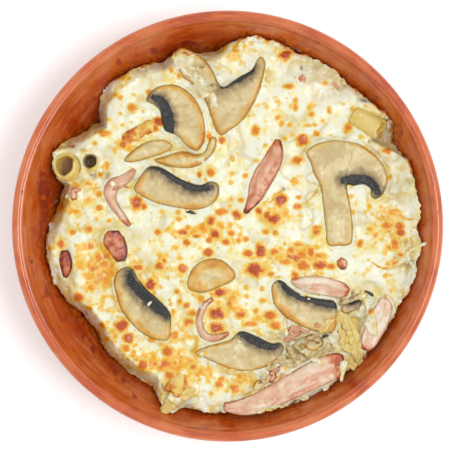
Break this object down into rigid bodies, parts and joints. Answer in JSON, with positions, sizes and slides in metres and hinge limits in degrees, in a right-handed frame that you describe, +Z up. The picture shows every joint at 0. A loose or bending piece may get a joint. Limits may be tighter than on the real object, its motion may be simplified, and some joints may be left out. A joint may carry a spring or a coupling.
{
  "type": "baked pasta",
  "caption": "Baked pasta with melted browned cheese, mushroom slices and ham in a round terracotta dish, filled to just below the rim.",
  "frame": {"origin": "centre of the dish's flat foot, on the surface that it stands on", "axes": "+Z up along the dish's axis, +Y towards the top of the picture and +X to its right"},
  "size_m": [0.2, 0.2, 0.052],
  "materials": {
    "terracotta": "gloss",
    "pasta": "satin",
    "cheese": "satin",
    "mushroom": "satin",
    "ham": "satin"
  },
  "bodies": {
    "root": {"dish": "terracotta", "pasta": "pasta", "cheese": "cheese", "mushroom_1": "mushroom", "mushroom_2": "mushroom", "mushroom_3": "mushroom", "mushroom_4": "mushroom", "mushroom_5": "mushroom", "mushroom_6": "mushroom", "mushroom_7": "mushroom", "mushroom_8": "mushroom", "mushroom_9": "mushroom", "mushroom_10": "mushroom", "mushroom_11": "mushroom", "mushroom_12": "mushroom", "mushroom_13": "mushroom", "ham_1": "ham", "ham_2": "ham", "ham_3": "ham", "ham_4": "ham", "ham_5": "ham", "ham_6": "ham", "ham_7": "ham", "ham_8": "ham", "ham_9": "ham", "ham_10": "ham", "ham_11": "ham", "ham_12": "ham"}
  },
  "joints": []
}
